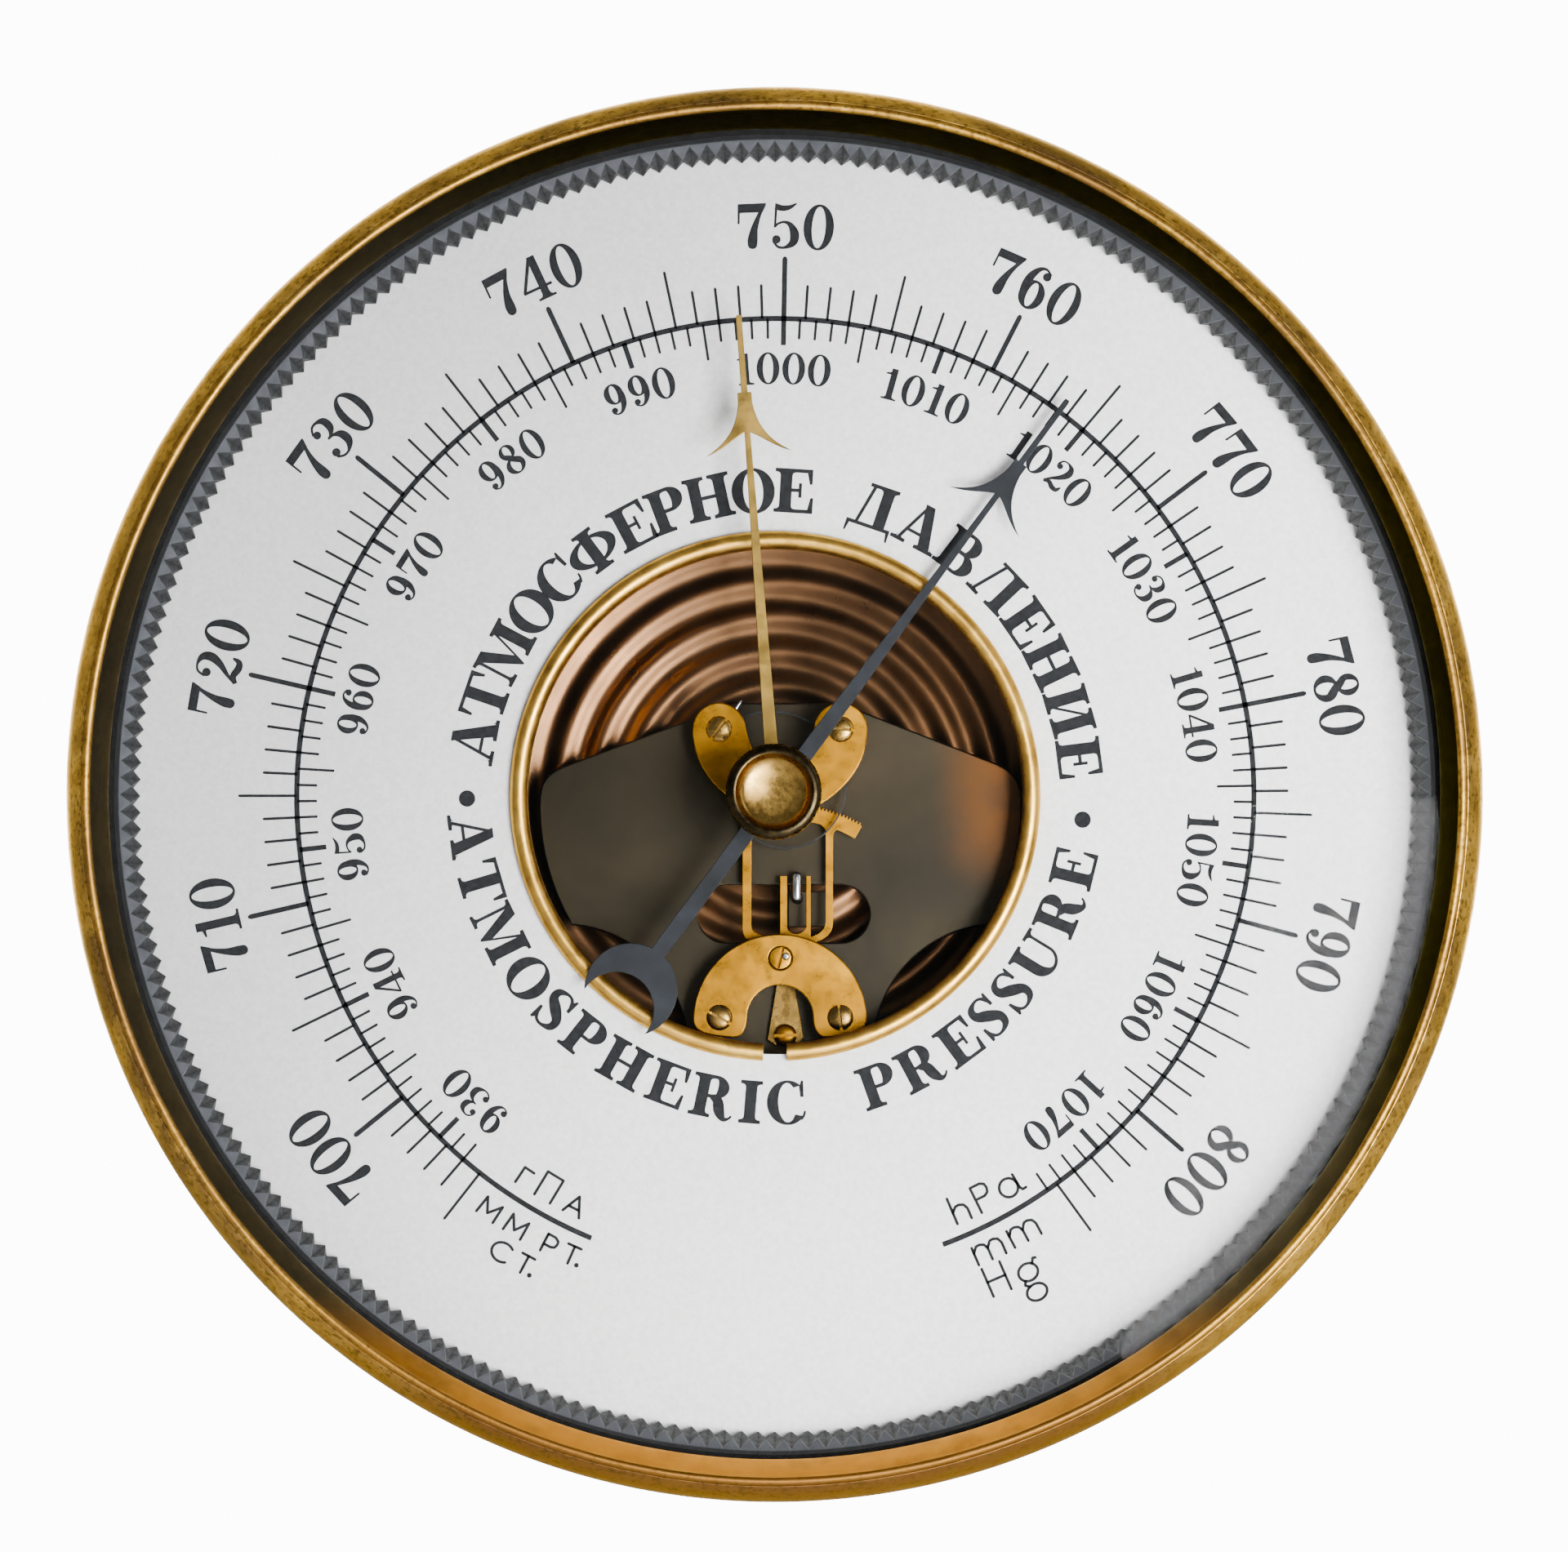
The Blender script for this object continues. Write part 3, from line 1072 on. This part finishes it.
SHIFT = 0.5
SCREWS = {
    "arbor_screw_1": (-6.45, 7.75, -53), "arbor_screw_2": (7.45, 7.75, 5),
    "sector_screw_1": (-6.4, -25.2, 29), "sector_screw_2": (7.4, -25.2, 84),
}


def slotted(name, place, seat, radius, height, shank, tip, angle, finish, node, width=0.42):
    """A domed screw head with a slot; angle is the slot's, clockwise from the x direction."""
    profile = [(0, tip), (shank, tip), (shank, seat), (radius, seat), (radius, seat + 0.45 * height)]
    profile += bezier((radius, seat + 0.45 * height), (0.93 * radius, seat + 0.9 * height),
            (0.5 * radius, seat + height), (0, seat + height), 8)[1:]
    screw = lathe(name, profile, finish, "case", node, 40, centre=place)
    points, faces = block_mesh((place[0] - 3, place[0] + 3), (seat + 0.4 * height, seat + 3),
            (place[1] - width / 2, place[1] + width / 2))
    return carve(screw, (turn_mesh(points, angle, place), faces))


def add_bridge_plate():
    s = SHIFT
    outline = [(-4.8, 10.95)] + [(-24.2, 3.8)]
    outline += bezier((-24.2, 3.8), (-26.2, 3.05), (-27.2, 2.0), (s - 27.7, -0.6), 8)
    outline += arc((s, -0.6), 27.7, 180, 210.65, 20)
    outline += arc((s - 24.9, -28.7), 14.2, 85.75, 0, 24)
    outline += [(s - 10.7, -42), (s + 10.7, -42)]
    outline += arc((s + 24.9, -28.7), 14.2, 180, 94.25, 24)
    outline += arc((s, -0.6), 27.7, -30.65, 0, 20)
    outline += bezier((s + 27.7, -0.6), (28.2, 2.0), (27.2, 3.2), (25.2, 4.05), 8)
    outline += [(7.4, 10.95)]
    slot = arc((-5.7, -13.2), 3.3, 90, 270, 16) + arc((7.4, -13.2), 3.3, -90, 90, 16)
    holes = [slot, arc((0, 0), 0.5, 0, 360, 16), arc((1.15, -18.2), 0.5, 0, 360, 16),
            arc((1.1, -27.2), 1.0, 0, 360, 16)]
    holes += [arc((x + s, -38), 1.3, 0, 360, 20) for x in (-8, 8)]
    plate("bridge_plate_body", outline, holes, 17, 18.2, "bronze", "case", "bridge_plate",
          0.2)
    for i, x in enumerate((-8, 8)):
        place = (x + s, -38)
        lathe(f"stand_post_{i + 1}", soften([(0, 4), (2.5, 4), (2.5, 16.9), (1.25, 16.9), (1.25, 12),
                (0, 12)], 0.15),
              "movement", "case", f"stand_pillar_{i + 1}", 40, centre=place)
        slotted(f"post_screw_{i + 1}", place, 18.3, 2.3, 1.2, 1.1, 12.5, 30 + 60 * i, "screw",
                f"stand_screw_{i + 1}", 0.5)


def bridge_holes(names):
    return [arc(SCREWS[n][:2], 1.0, 0, 360, 24) for n in names]


def add_bridges():
    s = SHIFT
    right = bezier((0, -2.4), (3.6, -2.2), (9.9, 1.4), (9.98, 7.4), 16)
    right += arc((6.95, 7.75), 3.05, -6.6, 166.2, 20)
    right += bezier((3.989, 8.48), (3.6, 6.5), (3.0, 3.6), (0, 3.2), 14)
    kidney = right + mirror(right)
    kidney = [(x + s, z) for x, z in kidney]
    plate("arbor_bridge_body", kidney, [arc((0, 0), 0.75, 0, 360, 20)] + bridge_holes(["arbor_screw_1",
            "arbor_screw_2"]),
          22.6, 23.6, "movement", "case", "arbor_bridge", 0.16)
    shoe = arc((0, -25.2), 3.75, 0, 90, 14)
    left = bezier((-3.75, -25.2), (-3.8, -26.6), (-4.4, -27.5), (-5.2, -27.5), 8)
    left += bezier((-5.2, -27.5), (-8, -27.3), (-9.7, -27.1), (-9.94, -25.6), 8)
    left += arc((0, -25.6), 9.94, 180, 90, 24)
    half = mirror(shoe) + left
    horseshoe = half + mirror(half)
    horseshoe = [(x + s, z) for x, z in horseshoe]
    plate("sector_bridge_body", horseshoe,
          [arc((0.55, -18.4), 1.35, 0, 360, 24)] + bridge_holes(["sector_screw_1", "sector_screw_2"]),
          22.6, 23.6, "movement", "case", "sector_bridge", 0.16)
    bush = tube("eccentric_bush", (0, 1.25), (22.6, 23.75), 0.1, "movement", "case", "pivot_bush", 40,
            (0.55, -18.4))
    points, faces = block_mesh((0.34, 0.76), (23.0, 24.5), (-20.4, -16.4))
    carve(bush, lathe_mesh([(0, 22), (0.42, 22), (0.42, 24.5), (0, 24.5)], 20, (1.15, -18.2)),
          (turn_mesh(points, 13.6, (0.55, -18.4)), faces))
    for name, (x, z, angle) in SCREWS.items():
        owner, _, number = name.split("_")
        tube(f"{owner}_post_{number}", (0.95, 1.5), (18.3, 22.5), 0.08, "movement", "case",
                f"{owner}_pillar_{number}", 32, (x, z))
        slotted(f"{owner}_bridge_screw_{number}", (x, z), 23.1, 1.52, 0.95, 0.8, 19.7, angle, "screw", name,
                0.34)


def add_regulator():
    x, z = 1.1, -27.2
    arm = [(x - 0.95, -20.6), (x + 0.95, -20.6), (x + 2.1, z - 0.2), (x + 1.2, z - 1.3), (x + 0.95, z)]
    arm += arc((x, z), 0.95, 0, 180, 12) + [(x - 0.95, z - 1.3), (x - 2.1, z - 0.5)]
    plate("regulator_arm_body", arm, [], 18.3, 19.2, "screw", "case", "regulator_arm", 0.1)
    slotted("regulator_screw_head", (x, z), 19.3, 1.3, 1.0, 0.75, 17.0, -2, "movement", "regulator_screw",
            0.36)


PIVOT = (1.15, -18.2)
SECTOR_TEETH, PINION_TEETH = 264, 12
CENTRE_DISTANCE = math.hypot(*PIVOT)
MODULE = 2 * CENTRE_DISTANCE / (SECTOR_TEETH + PINION_TEETH)


def around(centre, angle, radius):
    x, z = polar(angle, radius)
    return (centre[0] + x, centre[1] + z)


def tooth(centre, angle, pitch, root, tip):
    shares = [(-0.3, root), (-0.24, 0.5 * (root + tip)), (-0.14, tip), (0.14, tip),
            (0.24, 0.5 * (root + tip)),
            (0.3, root)]
    return [around(centre, angle + share * pitch, radius) for share, radius in shares]


def add_sector():
    pitch = 360 / SECTOR_TEETH
    mesh = math.degrees(math.atan2(-PIVOT[0], -PIVOT[1]))
    pitch_radius = MODULE * SECTOR_TEETH / 2
    root, tip, under = pitch_radius - 1.2 * MODULE, pitch_radius + 0.9 * MODULE, 15.65
    head_end = mesh + 24.8 * pitch
    outer = [(-3.8, -14.9), (-3.8, -3.3)]
    for i in range(-9, 25):
        outer += tooth(PIVOT, mesh + i * pitch, pitch, root, tip)
    outer += [around(PIVOT, head_end, root), around(PIVOT, head_end, under)]
    rail = math.degrees(math.asin((6.55 - PIVOT[0]) / under))
    outer += [around(PIVOT, rail + (head_end - rail) * share, under) for share in (0.8, 0.6, 0.4, 0.2)]
    outer += [(6.85, -3.72), (6.62, -3.95), (6.55, -4.3), (6.55, -14.3)]
    outer += bezier((6.55, -14.3), (6.5, -15.6), (5.6, -16.2), (4.6, -16.5), 8)
    outer += [around(PIVOT, a, 2.1) for a in range(66, 295, 12)]
    outer += bezier((-1.6, -16.7), (-3.0, -16.7), (-3.8, -16.2), (-3.8, -14.9), 6)
    inner = [(-2.8, -14.6), (-2.8, -3.4)]
    low = math.degrees(math.asin((-2.8 - PIVOT[0]) / under))
    high = math.degrees(math.asin((5.7 - PIVOT[0]) / under))
    inner += [around(PIVOT, low + (high - low) * i / 16, under) for i in range(1, 16)]
    inner += [(5.7, -3.7), (5.7, -14.2)] + bezier((5.7, -14.2), (5.65, -15.2), (4.9, -15.7), (4.0, -15.9), 6)
    inner += [(4.0, -8.95), (3.5, -8.95), (3.5, -14.8)]
    inner += bezier((3.5, -14.8), (3.3, -15.4), (2.6, -15.6), (2.4, -15.6), 5)
    inner += bezier((2.4, -15.6), (2.0, -15.6), (1.4, -15.4), (1.3, -14.8), 5)
    inner += [(1.3, -8.95), (0.5, -8.95), (0.5, -15.9)] + bezier((0.5, -15.9), (-1.6, -15.9), (-2.8, -15.6),
            (-2.8, -14.6), 6)
    plate("toothed_sector", outer, [inner, arc(PIVOT, 0.9, 0, 360, 24)], 20, 20.6, "movement", "sector",
            "sector", 0.03)
    lathe("sector_staff", soften([(0, 17.2), (0.35, 17.2), (0.35, 18.4), (0.8, 18.4), (0.8, 22.4),
            (0.33, 22.4),
            (0.33, 23.7), (0, 23.7)], 0.08), "steel", "sector", "sector_arbor", 24, centre=PIVOT)


def add_pointer_train():
    pitch = 360 / PINION_TEETH
    pitch_radius = MODULE * PINION_TEETH / 2
    to_sector = math.degrees(math.atan2(*PIVOT))
    outline = []
    for i in range(PINION_TEETH):
        outline += tooth((0, 0), to_sector + (i + 0.5) * pitch, pitch, pitch_radius - 1.2 * MODULE,
                pitch_radius + 0.8 * MODULE)
    plate("pinion", outline, [], 19.2, 21.2, "steel", "pointer", None, 0.03)
    lathe("arbor_shaft", soften([(0, 17.2), (0.35, 17.2), (0.35, 18.4), (0.55, 18.6), (0.55, 29.7),
            (0, 29.9)], 0.08),
          "steel", "pointer", "arbor", 24)
    tube("collet", (0.65, 1.3), (21.6, 22.3), 0.1, "movement", "pointer", "spring_collet", 32)
    lathe("pointer_boss", soften([(0.65, 27.9), (2, 27.9), (2, 28.9), (1, 28.9), (1, 30), (0.65, 30)], 0.12,
            closed=True),
          "movement", "pointer", "pointer_bush", 40, closed=True)


def add_hairspring():
    stud = (-4.9, 9.6)
    turns, steps = 4, 240
    end_angle = math.atan2(stud[1], stud[0]) - 0.03
    end_radius = math.hypot(*stud) - 0.8
    line = []
    for i in range(steps + 1):
        share = i / steps
        blend = min(max((share - 0.82) / 0.18, 0), 1)
        radius = 1.65 + 4.2 * share + (end_radius - 5.85) * blend * blend * (3 - 2 * blend)
        angle = end_angle - 2 * math.pi * turns * (1 - share)
        line.append(Vector((radius * math.cos(angle), radius * math.sin(angle))))
    sides = ([], [])
    for i, p in enumerate(line):
        along = (line[min(i + 1, steps)] - line[max(i - 1, 0)]).normalized()
        across = Vector((-along.y, along.x)) * 0.09
        sides[0].append(tuple(p + across))
        sides[1].append(tuple(p - across))
    plate("hairspring_ribbon", sides[0] + sides[1][::-1], [], 21.6, 22.3, "spring", "case", "hairspring",
            0.02)
    tube("spring_post", (0, 0.55), (21.3, 22.5), 0.1, "movement", "case", "spring_stud", 24, stud)
    pin = []
    for i in range(9):
        t = i / 8
        pin.append((-5.2 + 1.3 * t, 21.95, 9.2 + 1.9 * t, 0.26 - 0.06 * t if 0 < i < 8 else 0.12))
    points, faces = rod_mesh(pin, Vector((1.9, -1.3)).normalized(), 12)
    make("spring_pin", points, faces, "steel", "case")


def add_rocker():
    shaft = [(-20.2, 0.45), (-20.05, 0.6), (6.05, 0.6), (6.2, 0.45)]
    make("rocker_shaft", *rod_mesh([(1, 15.7, z, r) for z, r in shaft]), "bronze", "rocker", "rocking_shaft")
    long_arm = [(1, -14.7), (5.8, -14.7), (5.8, -10.6), (1, -10.6)]
    plate("rocker_arm", long_arm, [arc((2.4, -11.4), 0.6, 0, 360, 20)], 15.4, 16.1, "bronze", "rocker", None,
            0.1)
    plate("capsule_arm", [(-0.5, -0.6), (1, -0.6), (1, 0.6), (-0.5, 0.6)], [], 15.4, 16.0, "bronze", "rocker",
            None, 0.1)
    tube("drive_stalk", (0, 0.45), (15.5, 20.3), 0.08, "steel", "rocker", "drive_pin", 24, (2.4, -11.4))
    ball = []
    for middle, sign, steps in ((-11.33, -1, (8, 25, 45, 65, 90)), (-9.07, 1, (90, 65, 45, 25, 8))):
        for a in map(math.radians, steps):
            ball.append((2.4, 20.3, middle + sign * 0.62 * math.cos(a), 0.62 * math.sin(a)))
    make("drive_finger", *rod_mesh(ball), "steel", "rocker")
    for i, (low, high) in enumerate(((-19, -17.6), (3.6, 5))):
        points, faces = block_mesh((-0.6, 2.6), (14.5, 16.9), (low, high))
        block = make(f"shaft_bearing_{i + 1}", points, faces, "bronze", "case", f"rocker_bearing_{i + 1}")
        carve(block, rod_mesh([(1, 15.7, low - 1, 0.72), (1, 15.7, high + 1, 0.72)]))
        rounded(block, 0.12)


# ------------------------------------------------------------------ hands and knob


def arrow_head(barb, block, crotch, tip, tail_half):
    """Left half of a barbed arrow, from its crotch out to the barb and up to the tip."""
    left = bezier((-tail_half, crotch), (-1.5, crotch - 0.45), (-2.9, barb + 0.55), (-4.9, barb), 10)
    left += bezier((-4.9, barb), (-3.2, barb + 0.95), (-1.35, barb + 2.2), (-0.81, block), 12)
    left += [(-0.81, block + 1.25), (-0.36, block + 1.3), (-0.33, tip - 0.3), (-0.25, tip)]
    return left


def add_hands():
    turn = 36.5
    right_shaft = [(0.92, -4.8)] + arc((0, 0), 2.6, -69.4, 69.4, 18) + [(0.925, 8), (0.475, 31), (0.36, 40)]
    head = arrow_head(40.1, 45.8, 42.5, 56, 0.35)
    outline = right_shaft + mirror(head)[::-1] + head[::-1]
    outline += mirror(right_shaft)
    horn = -36.67
    horn_point = (5.3 * math.cos(math.radians(horn)), -27.5 + 5.3 * math.sin(math.radians(horn)))
    inner = math.hypot(horn_point[0], horn_point[1] + 30.3)
    inner_horn = math.degrees(math.atan2(horn_point[1] + 30.3, horn_point[0]))
    neck = 80.2
    outline += [(-x, z) for x, z in arc((0, -27.5), 5.3, neck, horn, 26)]
    outline += arc((0, -30.3), inner, 180 - inner_horn, inner_horn, 30)
    outline += arc((0, -27.5), 5.3, horn, neck, 26)
    plate("blued_pointer", turned(outline, turn), [arc((0, 0), 1.1, 0, 360, 24)], 29, 29.45, "blued",
            "pointer", "pointer_hand", 0.07)

    turn = -4.3
    head = arrow_head(38.8, 44.5, 41.2, 54.6, 0.33)
    shaft = arc((0, 0), 3.2, -90, 76.2, 30) + [(0.78, 5), (0.33, 41)]
    outline = shaft + mirror(head)[::-1] + head[::-1] + mirror(shaft)
    plate("set_hand_blade", turned(outline, turn), [arc((0, 0), 1.4, 0, 360, 24)], 32.4, 32.8, "gold",
            "set_hand", "set_hand", 0.07)
    tube("set_hand_nut", (1.35, 2.4), (31.6, 32.3), 0.15, "gold", "set_hand", "set_nut", 40)
    lathe("spindle", soften([(0, 31.5), (1.2, 31.5), (1.2, 32.9), (3, 32.9), (3, 34.9), (1.2, 34.9),
            (1.2, 39.6),
            (0, 39.6)], 0.12), "knob", "set_hand", "set_spindle", 48)
    tube("felt_washer", (1.5, 4), (37.7, 38.0), 0.12, "felt", "set_hand", "knob_washer", 48)
    profile = [(0, 39.8), (1.35, 39.8), (1.35, 38.1), (4, 38.1)]
    profile += bezier((4, 38.1), (5, 38.2), (5.4, 38.7), (5.4, 39.3), 6)
    profile += [(5.4, 41.5)] + bezier((5.4, 41.5), (5.4, 42.1), (4.9, 42.3), (4.45, 42.3), 7)
    profile += bezier((4.3, 42.25), (4.1, 41.9), (3.95, 41.3), (3.2, 41.05), 7)
    profile += bezier((3.2, 41.05), (2.2, 40.8), (1.0, 40.7), (0, 40.7), 6)
    lathe("cup_knob", profile, "knob", "set_hand", "knob", 96)


# ------------------------------------------------------------------ build

add_case()
add_toothed_ring()
add_dial()
add_scales()
add_lettering()
add_units()
tube("base_disc", (3.2, 43), (1.9, 3.9), 0.2, "movement", "case", "base_plate", 128)
add_capsule()
add_bridge_plate()
add_bridges()
add_regulator()
add_sector()
add_pointer_train()
add_hairspring()
add_rocker()
add_hands()


# ------------------------------------------------------------------ stage, light and camera


def add_stage():
    size = 3.0
    mesh = bpy.data.meshes.new("floor")
    mesh.from_pydata([(-size, -size, 0), (size, -size, 0), (size, size, 0), (-size, size, 0)], [],
            [(0, 1, 2, 3)])
    floor = in_scene("floor", mesh)
    floor.location.z = -0.3
    finish = Finish("floor_paint", 0.0, 0.8)
    finish.colour(finish.ramp(finish.noise(6, 2), (0.3, "ececec"), (0.7, "f2f2f2")))
    mesh.materials.append(finish.material)


def add_world():
    """White behind the object, dimmer in front of it, so that metal has something to reflect."""
    world = bpy.data.worlds.new("studio")
    bpy.context.scene.world = world
    world.use_nodes = True
    tree = world.node_tree
    where = tree.nodes.new("ShaderNodeTexCoord")
    split = tree.nodes.new("ShaderNodeSeparateXYZ")
    tree.links.new(where.outputs["Generated"], split.inputs[0])
    ramp = tree.nodes.new("ShaderNodeValToRGB")
    mapped = tree.nodes.new("ShaderNodeMapRange")
    mapped.inputs["From Min"].default_value = -1.0
    mapped.inputs["From Max"].default_value = 1.0
    tree.links.new(split.outputs["Y"], mapped.inputs["Value"])
    tree.links.new(mapped.outputs["Result"], ramp.inputs["Fac"])
    stops = ramp.color_ramp.elements
    stops.new(0.5)
    stops.new(0.9)
    for stop, (position, level) in zip(stops, ((0.0, 0.025), (0.5, 0.038), (0.9, 0.06), (0.97, 1.0))):
        stop.position = position
        stop.color = (level, level, level, 1)
    tree.links.new(ramp.outputs["Color"], tree.nodes["Background"].inputs["Color"])
    tree.nodes["Background"].inputs["Strength"].default_value = 13.0


def add_light(name, place, target, size, power, colour=(1, 1, 1)):
    data = bpy.data.lights.new(name, "AREA")
    data.shape = "RECTANGLE"
    data.size, data.size_y = size
    data.energy = power
    data.color = colour
    light = in_scene(name, data)
    light.location = place
    light.rotation_mode = "QUATERNION"
    light.rotation_quaternion = (Vector(target) - Vector(place)).to_track_quat("-Z", "Y")


def add_camera():
    """Almost head on: a little below and to the right of the dial's axis, with a long lens."""
    data = bpy.data.cameras.new("camera")
    camera = in_scene("camera", data)
    centre = Vector((0, -0.032, 0))
    distance = 1.245
    side, below = math.radians(0.644), math.radians(1.95)
    camera.location = centre + distance * Vector((math.sin(side), -math.cos(side), -math.sin(below)))
    aim = Vector((0.00106, -0.032, 0.00209))
    camera.rotation_mode = "QUATERNION"
    camera.rotation_quaternion = (aim - camera.location).to_track_quat("-Z", "Y")
    data.lens = 252.2
    data.sensor_width = 36
    data.clip_start, data.clip_end = 0.05, 30
    bpy.context.scene.camera = camera


add_stage()
add_world()
add_light("key", (0.23, -0.56, -0.11), (0, -0.03, 0), (0.26, 0.26), 14)
add_light("side", (0.75, -0.25, 0.25), (0, -0.03, 0), (0.3, 0.6), 2.5)
add_camera()
